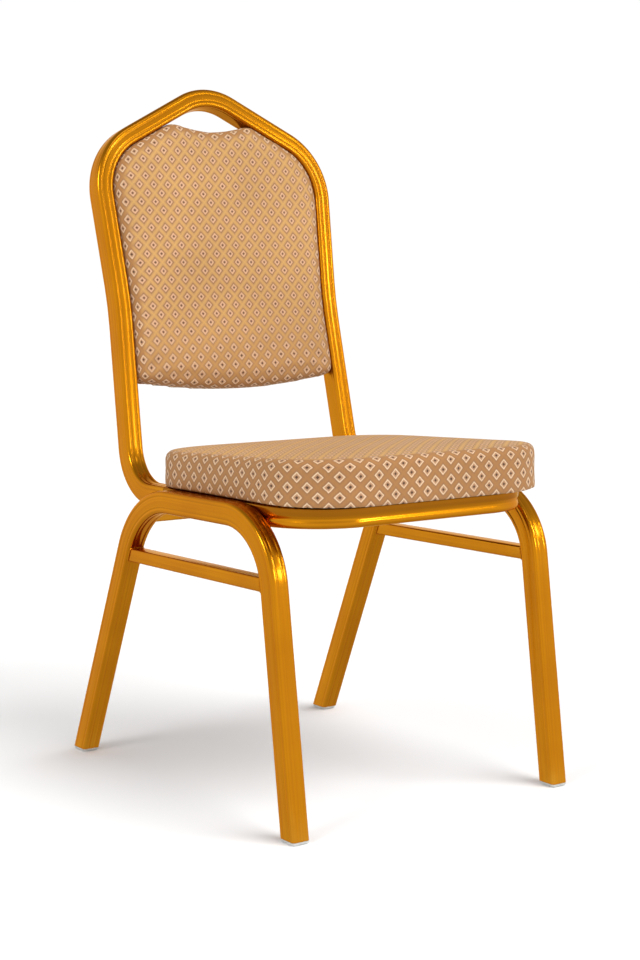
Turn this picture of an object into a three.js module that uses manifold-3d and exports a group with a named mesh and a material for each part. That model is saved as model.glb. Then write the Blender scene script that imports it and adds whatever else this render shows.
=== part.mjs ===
// Stacking banquet chair: ribbed steel tube frame, upholstered seat and back.
// Millimetres, +Z up, the chair faces -Y, X = 0 is its mid-plane and Z = 0 the floor.

import * as THREE from "three";
import { mergeVertices } from "three/addons/utils/BufferGeometryUtils.js";
import Module from "manifold-3d";

const wasm = await Module();
wasm.setup();

// ---- driving dimensions ----------------------------------------------------

const GAP = 0.3; // clearance between neighbouring solids

const TUBE = { width: 25, depth: 29, corner: 4.5, wall: 1.2 };
const RIB = { offset: 4.6, halfWidth: 1.9, depth: 1.1 }; // grooves between the three ribs

const LOOP_X = 206.5; // mid-plane of each leg loop
const FRONT_LEG = { footY: -257, rake: 0.14 };
const REAR_LEG = { footY: 257, rake: 0.438 };
const LOOP_TOP = { z: 376.5, fall: 0.014 };
const LOOP_FRONT_RADIUS = 90;
const LOOP_REAR_RADIUS = 120;

const SEAT_RAIL = { x: 181.2, z: 376.8, fall: 0.012, frontY: -241, cornerRadius: 80, rearY: 60, depth: 27.5 };

const BACK = { waistY: 207, waistZ: 623, lean: 0.2 };
const BACK_WAIST_X = 171.3;
const BACK_SHOULDER = { x: 183.2, s: 205.5 }; // s runs up the back from the waist
const BACK_APEX_S = 300.3;
const BACK_RADII = { bottom: 70, waist: 600, shoulder: 90, apex: 82 };

const STRETCHER = { width: 20, height: 17.5, corner: 2.5, wall: 1.2, z: 298, fall: 0.016, endGap: 1 };
const CROSSBAR = { width: 20, height: 19.2, corner: 2.5, wall: 1.2, y: 93, z: 351 };

const GLIDE = { height: 4, flare: 1.02, tread: 0.9, treadHeight: 1.2, plug: 0.84, plugLength: 18 };

const SEAT = { halfWidth: 198, frontY: -280, rearY: 114, frontRadius: 93, rearRadius: 95 };
const SEAT_BOARD = { thickness: 12, inset: 9 };
const DUST_COVER = { thickness: 0.8, inset: 14 };
const SEAT_PAD = { sideHeight: 35, height: 56, rearDrop: 0.035 };
const COVER_THICKNESS = 1.6;

const SEAT_TAB = { width: 30, length: 38, thickness: 3, boltInset: 24, holeRadius: 3.6 };
const SEAT_TAB_Y = [-135, 30];
const SEAT_BOLT = { radius: 2.6, headRadius: 5.4, headHeight: 3.8, length: 17 };
const WASHER = { radius: 7.5, thickness: 1.2 };
const TEE_NUT = { bore: 3, barrel: 4.4, flange: 9.5, flangeThickness: 1.3, length: 9.5 };
const TEE_HOLE = { barrel: 4.7, flange: 9.8, flangeDepth: 1.7 };

const PAD_GAP = 1.8; // between the back pad and the frame around it
const PAD_TOP = { peakX: 62, peakS: 251, dipS: 240 };
const PAD_BOTTOM = { centreS: -120, cornerS: -105.5, cornerRadius: 9 };
const BACK_BOARD = { front: -4, rear: 4, inset: 7 };
const BACK_FOAM_FRONT = -19;
const BACK_COVER_FRONT = -21;
const BACK_PANEL = { front: 6.7, rear: 12.5, rim: 1.5 };
const BACK_TAB = { width: 18, length: 24, thickness: 2.1, screwInset: 17, holeRadius: 2.8 };
const BACK_TAB_S = [-60, 130];
const BACK_SCREW = { radius: 2, headRadius: 4.5, headHeight: 2.4, length: 11 };
const SCREW_POCKET = { radius: 6, depth: 3 };

const BEND_STEP = THREE.MathUtils.degToRad(9);
const ROUND_SEGMENTS = 12;

const X_AXIS = new THREE.Vector3(1, 0, 0);
const Y_AXIS = new THREE.Vector3(0, 1, 0);
const Z_AXIS = new THREE.Vector3(0, 0, 1);

// ---- materials -------------------------------------------------------------

const GOLD = { color: 0xc98518, roughness: 0.32, metalness: 0.75 };
const FABRIC = { color: 0xbf9462, roughness: 0.9, metalness: 0 };
const PLYWOOD = { color: 0xc9a878, roughness: 0.8, metalness: 0 };
const FOAM = { color: 0xe8e0c0, roughness: 1, metalness: 0 };
const DUST_FABRIC = { color: 0x2a2a2a, roughness: 1, metalness: 0 };
const CLEAR_PLASTIC = { color: 0xe6e6e0, roughness: 0.35, metalness: 0 };
const ZINC = { color: 0xb8bcc0, roughness: 0.4, metalness: 0.9 };

function makeMesh(name, geometry, look) {
  const mesh = new THREE.Mesh(geometry, new THREE.MeshStandardMaterial(look));
  mesh.name = name;
  return mesh;
}

// ---- sweeping a section through a list of rings ------------------------------

// Each ring is { point, x, y }: where the section's own x and y axes lie in space.
class RingPath extends THREE.Curve {
  constructor(rings) {
    super();
    this.rings = rings;
  }

  getPoint(t, target = new THREE.Vector3()) {
    const last = this.rings.length - 1;
    return target.copy(this.rings[Math.round(t * last)].point);
  }

  getSpacedPoints() {
    return this.rings.map((ring) => ring.point);
  }

  computeFrenetFrames() {
    return {
      tangents: this.rings.map((ring) => ring.x.clone().cross(ring.y).normalize()),
      normals: this.rings.map((ring) => ring.x),
      binormals: this.rings.map((ring) => ring.y),
    };
  }
}

function sweep(shape, rings, curveSegments = 1) {
  const extrudePath = new RingPath(rings);
  const steps = rings.length - 1;
  return new THREE.ExtrudeGeometry(shape, { extrudePath, steps, curveSegments, bevelEnabled: false });
}

function ringAt(point, x, tangent) {
  return { point, x, y: tangent.clone().cross(x) };
}

// Rings of a tube bent at every corner: corners are { at, radius }, the ends have no radius.
function bentRings(corners, startX) {
  const rings = [];
  let x = startX.clone();
  let heading = corners[1].at.clone().sub(corners[0].at).normalize();
  x.addScaledVector(heading, -x.dot(heading)).normalize();
  rings.push(ringAt(corners[0].at.clone(), x.clone(), heading));
  for (let i = 1; i < corners.length - 1; i += 1) {
    const { at, radius } = corners[i];
    const next = corners[i + 1].at.clone().sub(at).normalize();
    const angle = heading.angleTo(next);
    const axis = heading.clone().cross(next).normalize();
    const start = at.clone().addScaledVector(heading, -radius * Math.tan(angle / 2));
    const centre = start.clone().addScaledVector(axis.clone().cross(heading), radius);
    const steps = Math.max(1, Math.round(angle / BEND_STEP));
    for (let step = 0; step <= steps; step += 1) {
      const turn = (angle * step) / steps;
      const point = start.clone().sub(centre).applyAxisAngle(axis, turn).add(centre);
      const tangent = heading.clone().applyAxisAngle(axis, turn);
      rings.push(ringAt(point, x.clone().applyAxisAngle(axis, turn), tangent));
    }
    x.applyAxisAngle(axis, angle);
    heading = next;
  }
  rings.push(ringAt(corners[corners.length - 1].at.clone(), x.clone(), heading));
  return rings;
}

// Leans a ring over, without changing the tube's outline, until it lies in a plane.
function mitre(ring, planeNormal) {
  const tangent = ring.x.clone().cross(ring.y).normalize();
  const along = tangent.dot(planeNormal);
  const lean = (axis) => axis.clone().addScaledVector(tangent, -axis.dot(planeNormal) / along);
  return { point: ring.point, x: lean(ring.x), y: lean(ring.y) };
}

function mitreEnds(rings, firstNormal, lastNormal) {
  const mitred = rings.slice();
  mitred[0] = mitre(rings[0], firstNormal);
  mitred[rings.length - 1] = mitre(rings[rings.length - 1], lastNormal);
  return mitred;
}

// ---- sections ----------------------------------------------------------------

function rectangle(halfX, halfY, corner) {
  const near = corner * (1 - Math.SQRT1_2);
  const points = [];
  for (const [sx, sy] of [[1, -1], [1, 1], [-1, 1], [-1, -1]]) {
    const turn = [
      [sx * (halfX - corner), sy * halfY],
      [sx * (halfX - near), sy * (halfY - near)],
      [sx * halfX, sy * (halfY - corner)],
    ];
    points.push(...(sx * sy < 0 ? turn : turn.reverse()));
  }
  return points.map(([px, py]) => new THREE.Vector2(px, py));
}

function squareHole(halfX, halfY) {
  const corners = [[-halfX, -halfY], [-halfX, halfY], [halfX, halfY], [halfX, -halfY]];
  return new THREE.Path(corners.map(([px, py]) => new THREE.Vector2(px, py)));
}

function hollowRectangle({ width, height, corner, wall }) {
  const shape = new THREE.Shape(rectangle(width / 2, height / 2, corner));
  shape.holes.push(squareHole(width / 2 - wall, height / 2 - wall));
  return shape;
}

// The frame tube: its two narrow faces carry three ribs with a groove on each side of the middle one.
function ribbedSection(depth = TUBE.depth) {
  const halfX = TUBE.width / 2;
  const halfY = depth / 2;
  const outline = rectangle(halfX, halfY, TUBE.corner);
  const grooves = (side) => [-RIB.offset, RIB.offset].flatMap((centre) => [
    new THREE.Vector2(side * (centre - RIB.halfWidth), side * halfY),
    new THREE.Vector2(side * centre, side * (halfY - RIB.depth)),
    new THREE.Vector2(side * (centre + RIB.halfWidth), side * halfY),
  ]);
  const top = grooves(1).reverse();
  const bottom = grooves(-1).reverse();
  const shape = new THREE.Shape([...outline.slice(0, 6), ...top, ...outline.slice(6), ...bottom]);
  const inset = TUBE.wall + RIB.depth;
  shape.holes.push(squareHole(halfX - TUBE.wall, halfY - inset));
  return shape;
}

// ---- booleans and turned parts -------------------------------------------------

function toManifold(geometry) {
  const bare = geometry.clone();
  bare.deleteAttribute("normal");
  bare.deleteAttribute("uv");
  const merged = mergeVertices(bare, 1e-4);
  const mesh = new wasm.Mesh({
    numProp: 3,
    vertProperties: new Float32Array(merged.attributes.position.array),
    triVerts: new Uint32Array(merged.index.array),
  });
  return new wasm.Manifold(mesh);
}

function fromManifold(manifold) {
  const mesh = manifold.getMesh();
  const geometry = new THREE.BufferGeometry();
  geometry.setAttribute("position", new THREE.BufferAttribute(new Float32Array(mesh.vertProperties), 3));
  geometry.setIndex(new THREE.BufferAttribute(new Uint32Array(mesh.triVerts), 1));
  geometry.computeVertexNormals();
  return geometry;
}

function cut(geometry, tools) {
  const cutters = tools.map(toManifold);
  return fromManifold(cutters.reduce((body, tool) => body.subtract(tool), toManifold(geometry)));
}

// A solid of revolution about +Z; the profile runs from the axis, or closes on itself.
function turned(profile, segments = ROUND_SEGMENTS) {
  const points = profile.map(([radius, z]) => new THREE.Vector2(radius, z));
  return new THREE.LatheGeometry(points, segments).rotateX(Math.PI / 2);
}

function pin(radius, from, to) {
  return turned([[0, from], [radius, from], [radius, to], [0, to]]);
}

function sleeve(inner, outer, from, to) {
  return turned([[inner, from], [outer, from], [outer, to], [inner, to], [inner, from]]);
}

// ---- leg loops -------------------------------------------------------------------

function legPoint(leg, side, z) {
  const toward = Math.sign(-leg.footY);
  return new THREE.Vector3(side * LOOP_X, leg.footY + toward * leg.rake * z, z);
}

function legTopCorner(leg, side) {
  const toward = Math.sign(-leg.footY);
  const z = (LOOP_TOP.z - LOOP_TOP.fall * leg.footY) / (1 + LOOP_TOP.fall * toward * leg.rake);
  return legPoint(leg, side, z);
}

function legLoop(name, side) {
  const rings = bentRings(
    [
      { at: legPoint(REAR_LEG, side, GLIDE.height + GAP) },
      { at: legTopCorner(REAR_LEG, side), radius: LOOP_REAR_RADIUS },
      { at: legTopCorner(FRONT_LEG, side), radius: LOOP_FRONT_RADIUS },
      { at: legPoint(FRONT_LEG, side, GLIDE.height + GAP) },
    ],
    X_AXIS,
  );
  return makeMesh(name, sweep(ribbedSection(), mitreEnds(rings, Z_AXIS, Z_AXIS)), GOLD);
}

function footGlide(name, leg, side) {
  const flat = (z, scale) => ({
    point: legPoint(leg, side, z),
    x: X_AXIS.clone().multiplyScalar(scale),
    y: Y_AXIS.clone().multiplyScalar(scale),
  });
  const rings = [
    flat(0, GLIDE.tread),
    flat(GLIDE.treadHeight, GLIDE.flare),
    flat(GLIDE.height, GLIDE.flare),
    flat(GLIDE.height, GLIDE.plug),
    flat(GLIDE.height + GLIDE.plugLength, GLIDE.plug),
  ];
  const section = new THREE.Shape(rectangle(TUBE.width / 2, TUBE.depth / 2, TUBE.corner));
  return makeMesh(name, sweep(section, rings), CLEAR_PLASTIC);
}

function legFaceOffset(leg) {
  return (TUBE.depth / 2) * Math.hypot(1, leg.rake) + STRETCHER.endGap;
}

function sideStretcher(name, side) {
  const axisZ = (y) => STRETCHER.z - STRETCHER.fall * y;
  const end = (leg) => {
    const toward = Math.sign(-leg.footY);
    const levelY = leg.footY + toward * (leg.rake * STRETCHER.z + legFaceOffset(leg));
    const y = levelY / (1 + toward * leg.rake * STRETCHER.fall);
    return new THREE.Vector3(side * LOOP_X, y, axisZ(y));
  };
  const rings = bentRings([{ at: end(REAR_LEG) }, { at: end(FRONT_LEG) }], X_AXIS);
  const rearFace = new THREE.Vector3(0, 1, REAR_LEG.rake);
  const frontFace = new THREE.Vector3(0, 1, -FRONT_LEG.rake);
  return makeMesh(name, sweep(hollowRectangle(STRETCHER), mitreEnds(rings, rearFace, frontFace)), GOLD);
}

function rearCrossbar() {
  const reach = LOOP_X - TUBE.width / 2 - GAP;
  const end = (side) => new THREE.Vector3(side * reach, CROSSBAR.y, CROSSBAR.z);
  const rings = bentRings([{ at: end(-1) }, { at: end(1) }], Y_AXIS);
  return makeMesh("rear_crossbar", sweep(hollowRectangle(CROSSBAR), rings), GOLD);
}

// ---- back arch and seat rail -------------------------------------------------------

const BACK_SLOPE = Math.hypot(1, BACK.lean);

// A point of the back: x across, s up the slope from the waist, out to the rear.
function backPoint(x, s, out = 0) {
  const y = BACK.waistY + (s * BACK.lean + out) / BACK_SLOPE;
  const z = BACK.waistZ + (s - out * BACK.lean) / BACK_SLOPE;
  return new THREE.Vector3(x, y, z);
}

function railZ(y, lift = 0) {
  return SEAT_RAIL.z + lift - SEAT_RAIL.fall * y;
}

function backBottomS() {
  const rise = 1 + SEAT_RAIL.fall * BACK.lean;
  return ((railZ(BACK.waistY) - BACK.waistZ) * BACK_SLOPE) / rise;
}

function backFrameTube() {
  const bottomS = backBottomS();
  const railEnd = (side) => ({ at: new THREE.Vector3(side * SEAT_RAIL.x, SEAT_RAIL.rearY, railZ(SEAT_RAIL.rearY)) });
  const half = (side) => [
    railEnd(side),
    { at: backPoint(side * SEAT_RAIL.x, bottomS), radius: BACK_RADII.bottom },
    { at: backPoint(side * BACK_WAIST_X, 0), radius: BACK_RADII.waist },
    { at: backPoint(side * BACK_SHOULDER.x, BACK_SHOULDER.s), radius: BACK_RADII.shoulder },
  ];
  const apex = { at: backPoint(0, BACK_APEX_S), radius: BACK_RADII.apex };
  const rings = bentRings([...half(-1), apex, ...half(1).reverse()], X_AXIS);
  return makeMesh("back_frame_tube", sweep(ribbedSection(), rings), GOLD);
}

// The rail is a little shallower than the back tube, and flush with its top.
function seatFrameRail() {
  const lift = (TUBE.depth - SEAT_RAIL.depth) / 2;
  const railPoint = (side, y) => new THREE.Vector3(side * SEAT_RAIL.x, y, railZ(y, lift));
  const rail = (side) => [
    { at: railPoint(side, SEAT_RAIL.rearY - GAP) },
    { at: railPoint(side, SEAT_RAIL.frontY), radius: SEAT_RAIL.cornerRadius },
  ];
  const rings = bentRings([...rail(-1), ...rail(1).reverse()], X_AXIS);
  return makeMesh("seat_frame_rail", sweep(ribbedSection(SEAT_RAIL.depth), rings), GOLD);
}

// ---- seat: built flat, then laid on the sloping rails -----------------------------

function arcPoints(cx, cy, radius, from, to, steps) {
  return Array.from({ length: steps + 1 }, (_, i) => {
    const angle = THREE.MathUtils.degToRad(from + ((to - from) * i) / steps);
    return new THREE.Vector2(cx + radius * Math.cos(angle), cy + radius * Math.sin(angle));
  });
}

// The seat's outline about its own middle, counter-clockwise from above.
function seatOutline(inset) {
  const middle = (SEAT.frontY + SEAT.rearY) / 2;
  const halfX = SEAT.halfWidth - inset;
  const halfY = (SEAT.rearY - SEAT.frontY) / 2 - inset;
  const front = SEAT.frontRadius - inset;
  const rear = SEAT.rearRadius - inset;
  const steps = 7;
  const outline = [
    ...arcPoints(halfX - rear, halfY - rear, rear, 0, 90, steps),
    ...arcPoints(-halfX + rear, halfY - rear, rear, 90, 180, steps),
    ...arcPoints(-halfX + front, -halfY + front, front, 180, 270, steps),
    ...arcPoints(halfX - front, -halfY + front, front, 270, 360, steps),
  ];
  return { outline, middle };
}

function flatSheet(inset, from, to) {
  const { outline, middle } = seatOutline(inset);
  const geometry = new THREE.ExtrudeGeometry(new THREE.Shape(outline), { depth: to - from, bevelEnabled: false });
  return geometry.translate(0, middle, from);
}

// A cushion blank: straight sides, rolled top edge, crowned top that falls to the rear.
function crownedBlock(inset, from, top) {
  const { outline, middle } = seatOutline(inset);
  const side = SEAT_PAD.sideHeight + SEAT_BOARD.thickness - inset;
  const rise = top - side;
  const level = (z, scale) => {
    const fall = -SEAT_PAD.rearDrop * THREE.MathUtils.smoothstep(z, from, side);
    return {
      point: new THREE.Vector3(0, middle, z),
      x: X_AXIS.clone().multiplyScalar(scale),
      y: new THREE.Vector3(0, scale, scale * fall),
    };
  };
  const crown = [[0.4, 0.99], [0.7, 0.965], [0.87, 0.9], [0.96, 0.7], [1, 0.35]];
  const rings = [level(from, 1), level(side, 1), ...crown.map(([part, scale]) => level(side + part * rise, scale))];
  return sweep(new THREE.Shape(outline), rings);
}

const boltPlaces = SEAT_TAB_Y.flatMap((y) => [-1, 1].map((side) => ({
  side,
  y,
  x: side * (SEAT_RAIL.x - TUBE.width / 2 - GAP - SEAT_TAB.boltInset),
  label: `${y < 0 ? "front" : "rear"}_${side < 0 ? "left" : "right"}`,
})));

const BOARD_FROM = DUST_COVER.thickness + 2 * GAP;
const BOARD_TO = BOARD_FROM + SEAT_BOARD.thickness;
const FOAM_FROM = BOARD_TO + GAP;
const FOAM_TOP = SEAT_PAD.height - COVER_THICKNESS - GAP;

function seatBoard() {
  const blank = flatSheet(SEAT_BOARD.inset, BOARD_FROM, BOARD_TO);
  const holes = boltPlaces.flatMap(({ x, y }) => [
    pin(TEE_HOLE.barrel, BOARD_FROM - 1, BOARD_TO + 1).translate(x, y, 0),
    pin(TEE_HOLE.flange, BOARD_TO - TEE_HOLE.flangeDepth, BOARD_TO + 1).translate(x, y, 0),
  ]);
  return makeMesh("seat_board", cut(blank, holes), PLYWOOD);
}

function seatDustCover() {
  const blank = flatSheet(DUST_COVER.inset, GAP, GAP + DUST_COVER.thickness);
  const holes = boltPlaces.map(({ x, y }) => pin(SEAT_TAB.holeRadius, -1, BOARD_TO).translate(x, y, 0));
  return makeMesh("seat_dust_cover", cut(blank, holes), DUST_FABRIC);
}

function seatFoam() {
  return makeMesh("seat_foam", crownedBlock(SEAT_BOARD.inset, FOAM_FROM, FOAM_TOP), FOAM);
}

function seatCover() {
  const outside = crownedBlock(0, GAP, SEAT_PAD.height);
  const foamRoom = crownedBlock(SEAT_BOARD.inset - GAP, GAP - 5, FOAM_TOP + GAP);
  return makeMesh("seat_cover", cut(outside, [foamRoom]), FABRIC);
}

function seatTab({ side, y, label }) {
  const inner = SEAT_RAIL.x - TUBE.width / 2 - GAP;
  const width = side * (inner - SEAT_TAB.length / 2);
  const plate = new THREE.BoxGeometry(SEAT_TAB.length, SEAT_TAB.width, SEAT_TAB.thickness);
  plate.translate(width, y, -SEAT_TAB.thickness / 2);
  const boltX = side * (inner - SEAT_TAB.boltInset);
  const hole = pin(SEAT_TAB.holeRadius, -SEAT_TAB.thickness - 1, 1).translate(boltX, y, 0);
  return makeMesh(`seat_tab_${label}`, cut(plate, [hole]), GOLD);
}

function seatBolt({ x, y, label }) {
  const seatZ = -SEAT_TAB.thickness - WASHER.thickness - 2 * GAP;
  const { radius, headRadius, headHeight, length } = SEAT_BOLT;
  const profile = [
    [0, seatZ - headHeight],
    [headRadius * 0.7, seatZ - headHeight],
    [headRadius, seatZ - headHeight * 0.5],
    [headRadius, seatZ],
    [radius, seatZ],
    [radius, seatZ + length],
    [0, seatZ + length],
  ];
  return makeMesh(`seat_bolt_${label}`, turned(profile).translate(x, y, 0), ZINC);
}

function seatWasher({ x, y, label }) {
  const to = -SEAT_TAB.thickness - GAP;
  const ring = sleeve(SEAT_BOLT.radius + GAP, WASHER.radius, to - WASHER.thickness, to);
  return makeMesh(`seat_washer_${label}`, ring.translate(x, y, 0), ZINC);
}

function teeNut({ x, y, label }) {
  const { bore, barrel, flange, flangeThickness, length } = TEE_NUT;
  const under = BOARD_TO - flangeThickness;
  const profile = [
    [bore, BOARD_TO - length],
    [barrel, BOARD_TO - length],
    [barrel, under],
    [flange, under],
    [flange, BOARD_TO],
    [bore, BOARD_TO],
    [bore, BOARD_TO - length],
  ];
  return makeMesh(`tee_nut_${label}`, turned(profile).translate(x, y, 0), ZINC);
}

function seatAssembly() {
  const seat = new THREE.Group();
  seat.add(seatBoard(), seatDustCover(), seatFoam(), seatCover());
  for (const place of boltPlaces) {
    seat.add(seatTab(place), seatBolt(place), seatWasher(place), teeNut(place));
  }
  seat.position.z = SEAT_RAIL.z + (TUBE.depth / 2) * Math.hypot(1, SEAT_RAIL.fall);
  seat.rotation.x = -Math.atan(SEAT_RAIL.fall);
  return seat;
}

// ---- back pad: built flat in x and s, then leaned onto the back ---------------------

function insideX(s) {
  const lower = (SEAT_RAIL.x - BACK_WAIST_X) / -backBottomS();
  const upper = (BACK_SHOULDER.x - BACK_WAIST_X) / BACK_SHOULDER.s;
  const axis = BACK_WAIST_X + (s < 0 ? -s * lower : s * upper);
  return axis - TUBE.width / 2 - PAD_GAP;
}

// Right half of the pad outline, from the middle of the bottom edge to the middle of the top.
function padHalf(inset) {
  const bottomS = (x) => PAD_BOTTOM.centreS + (PAD_BOTTOM.cornerS - PAD_BOTTOM.centreS) * (x / 155) ** 2;
  const side = (s) => insideX(s) - inset;
  const low = PAD_BOTTOM.cornerS + PAD_BOTTOM.cornerRadius + inset;
  const bottom = [0, 40, 80, 120].map((x) => [x, bottomS(x) + inset]);
  const corner = [
    [side(low) - PAD_BOTTOM.cornerRadius, bottomS(147) + inset],
    [side(low) - 2.6, low - 6],
    [side(low), low],
  ];
  const flank = [-50, 0, 50, 100, 140].map((s) => [side(s), s]);
  const slope = (BACK_APEX_S - BACK_SHOULDER.s) / BACK_SHOULDER.x;
  const under = (TUBE.width / 2 + PAD_GAP) * Math.hypot(1, slope) + inset * 1.12;
  const slopeS = (x) => BACK_APEX_S - slope * x - under;
  const turn = BACK_RADII.shoulder - TUBE.width / 2 - PAD_GAP - inset;
  const cx = BACK_SHOULDER.x - BACK_RADII.shoulder - 4.2;
  const cs = slopeS(cx) - turn * Math.hypot(1, slope);
  const shoulder = arcPoints(cx, cs, turn, 0, 60, 6).map((p) => [Math.min(p.x, side(p.y)), p.y]);
  const peak = PAD_TOP.peakX - inset * 0.3;
  const crest = [[peak + 14, slopeS(peak + 14)], [peak + 3, slopeS(peak + 3) - 0.4], [peak - 6, PAD_TOP.peakS - inset - 1.2]];
  const dip = [0.72, 0.45, 0.2, 0].map((part) => {
    const s = PAD_TOP.dipS + (PAD_TOP.peakS - PAD_TOP.dipS) * part ** 1.6;
    return [peak * part, s - inset];
  });
  return [...bottom, ...corner, ...flank, ...shoulder, ...crest, ...dip];
}

function padOutline(inset) {
  const right = padHalf(inset);
  const left = right.slice(1, -1).reverse().map(([x, s]) => [-x, s]);
  return new THREE.Shape([...right, ...left].map(([x, s]) => new THREE.Vector2(x, s)));
}

// In the pad's own axes +Z faces the sitter, so depth is minus the distance behind the frame axis.
function padSlab(inset, front, rear) {
  const geometry = new THREE.ExtrudeGeometry(padOutline(inset), { depth: rear - front, bevelEnabled: false });
  return geometry.translate(0, 0, -rear);
}

function padDome(inset, front, rear) {
  const height = rear - front;
  const level = (part, scale) => ({
    point: new THREE.Vector3(0, 0, -rear + height * part),
    x: X_AXIS.clone().multiplyScalar(scale),
    y: Y_AXIS.clone().multiplyScalar(scale),
  });
  const rings = [
    level(0, 1),
    level(0.5, 1),
    level(0.68, 0.985),
    level(0.8, 0.95),
    level(0.93, 0.8),
    level(0.985, 0.55),
    level(1, 0.3),
  ];
  return sweep(padOutline(inset), rings);
}

const backTabPlaces = BACK_TAB_S.flatMap((s) => [-1, 1].map((side) => ({
  side,
  s,
  edge: insideX(s) + PAD_GAP - GAP - 1,
  label: `${s < 0 ? "lower" : "upper"}_${side < 0 ? "left" : "right"}`,
})));

function screwX({ side, edge }) {
  return side * (edge - BACK_TAB.screwInset);
}

function backBoard() {
  const blank = padSlab(BACK_BOARD.inset, BACK_BOARD.front, BACK_BOARD.rear);
  const holes = backTabPlaces.map((place) => pin(BACK_SCREW.radius + GAP, -5, 5).translate(screwX(place), place.s, 0));
  return makeMesh("back_board", cut(blank, holes), PLYWOOD);
}

function backFoam() {
  return makeMesh("back_foam", padDome(BACK_BOARD.inset, BACK_FOAM_FRONT, BACK_BOARD.front - GAP), FOAM);
}

function backFrontCover() {
  const outside = padDome(0, BACK_COVER_FRONT, BACK_BOARD.rear);
  const foamRoom = padDome(BACK_BOARD.inset - GAP, BACK_FOAM_FRONT - GAP, BACK_BOARD.front - GAP);
  const boardRoom = padSlab(BACK_BOARD.inset - GAP, BACK_BOARD.front - 2 * GAP, BACK_BOARD.rear + 5);
  return makeMesh("back_front_cover", cut(outside, [foamRoom, boardRoom]), FABRIC);
}

function backRearPanel() {
  const { front, rear, rim } = BACK_PANEL;
  const panel = sweep(padOutline(rim), [
    { point: new THREE.Vector3(0, 0, -rear), x: X_AXIS.clone().multiplyScalar(0.98), y: Y_AXIS.clone().multiplyScalar(0.98) },
    { point: new THREE.Vector3(0, 0, -rear + 2), x: X_AXIS, y: Y_AXIS },
    { point: new THREE.Vector3(0, 0, -front), x: X_AXIS, y: Y_AXIS },
  ]);
  const pockets = backTabPlaces.map((place) => pin(SCREW_POCKET.radius, -front - SCREW_POCKET.depth, -front + 1)
    .translate(screwX(place), place.s, 0));
  return makeMesh("back_rear_panel", cut(panel, pockets), FABRIC);
}

function backTab(place) {
  const middle = -(BACK_BOARD.rear + GAP + BACK_TAB.thickness / 2);
  const plate = new THREE.BoxGeometry(BACK_TAB.length, BACK_TAB.width, BACK_TAB.thickness);
  plate.translate(place.side * (place.edge - BACK_TAB.length / 2), place.s, middle);
  const hole = pin(BACK_TAB.holeRadius, middle - 3, middle + 3).translate(screwX(place), place.s, 0);
  return makeMesh(`back_tab_${place.label}`, cut(plate, [hole]), GOLD);
}

function backScrew(place) {
  const seatZ = -(BACK_BOARD.rear + 2 * GAP + BACK_TAB.thickness);
  const { radius, headRadius, headHeight, length } = BACK_SCREW;
  const profile = [
    [0, seatZ - headHeight],
    [headRadius * 0.7, seatZ - headHeight],
    [headRadius, seatZ - headHeight * 0.4],
    [headRadius, seatZ],
    [radius, seatZ],
    [radius, seatZ + length - 3],
    [0, seatZ + length],
  ];
  return makeMesh(`back_screw_${place.label}`, turned(profile).translate(screwX(place), place.s, 0), ZINC);
}

function backPadAssembly() {
  const pad = new THREE.Group();
  pad.add(backBoard(), backFoam(), backFrontCover(), backRearPanel());
  for (const place of backTabPlaces) {
    pad.add(backTab(place), backScrew(place));
  }
  pad.position.copy(backPoint(0, 0));
  pad.rotation.x = Math.PI / 2 - Math.atan(BACK.lean);
  return pad;
}

// ---- the chair ---------------------------------------------------------------------

function chairFrame() {
  const frame = new THREE.Group();
  frame.add(backFrameTube(), seatFrameRail(), rearCrossbar());
  for (const [label, side] of [["left", -1], ["right", 1]]) {
    frame.add(legLoop(`${label}_leg_loop`, side), sideStretcher(`${label}_side_stretcher`, side));
    frame.add(footGlide(`foot_glide_front_${label}`, FRONT_LEG, side));
    frame.add(footGlide(`foot_glide_rear_${label}`, REAR_LEG, side));
  }
  return frame;
}

const assembly = new THREE.Group();
assembly.add(chairFrame(), seatAssembly(), backPadAssembly());

// The origin is under the middle of the chair's box.
const box = new THREE.Box3().setFromObject(assembly, true);
assembly.position.y = -(box.min.y + box.max.y) / 2;

const chair = new THREE.Group();
chair.add(assembly);

export default chair;
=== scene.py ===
"""Stacking banquet chair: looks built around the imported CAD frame, in metres, +Z up, facing -Y."""
import math

import bpy
import numpy as np
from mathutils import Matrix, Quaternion, Vector


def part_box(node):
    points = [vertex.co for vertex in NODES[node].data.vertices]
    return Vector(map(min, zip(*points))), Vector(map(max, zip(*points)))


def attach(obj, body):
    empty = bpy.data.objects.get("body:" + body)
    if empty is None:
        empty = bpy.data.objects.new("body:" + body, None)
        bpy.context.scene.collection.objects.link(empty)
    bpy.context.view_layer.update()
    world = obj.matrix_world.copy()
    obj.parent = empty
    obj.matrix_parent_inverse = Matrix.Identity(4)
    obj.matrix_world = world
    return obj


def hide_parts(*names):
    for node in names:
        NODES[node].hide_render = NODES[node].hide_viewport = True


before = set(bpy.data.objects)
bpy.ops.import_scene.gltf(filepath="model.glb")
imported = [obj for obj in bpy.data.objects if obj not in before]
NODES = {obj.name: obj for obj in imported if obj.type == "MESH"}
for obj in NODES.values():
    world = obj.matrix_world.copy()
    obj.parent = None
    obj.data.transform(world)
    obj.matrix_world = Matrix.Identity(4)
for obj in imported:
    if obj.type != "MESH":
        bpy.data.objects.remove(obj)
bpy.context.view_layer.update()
SCENE = bpy.context.scene

# ---- dimensions, in millimetres ------------------------------------------------------

MM = 0.001
CROSSBAR_Y = 93                 # where the crossbar lies before the whole chair is centred in y
CROSSBAR_LOW, CROSSBAR_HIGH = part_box("rear_crossbar")
Y_SHIFT = (CROSSBAR_LOW.y + CROSSBAR_HIGH.y) / 2 / MM - CROSSBAR_Y

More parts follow.
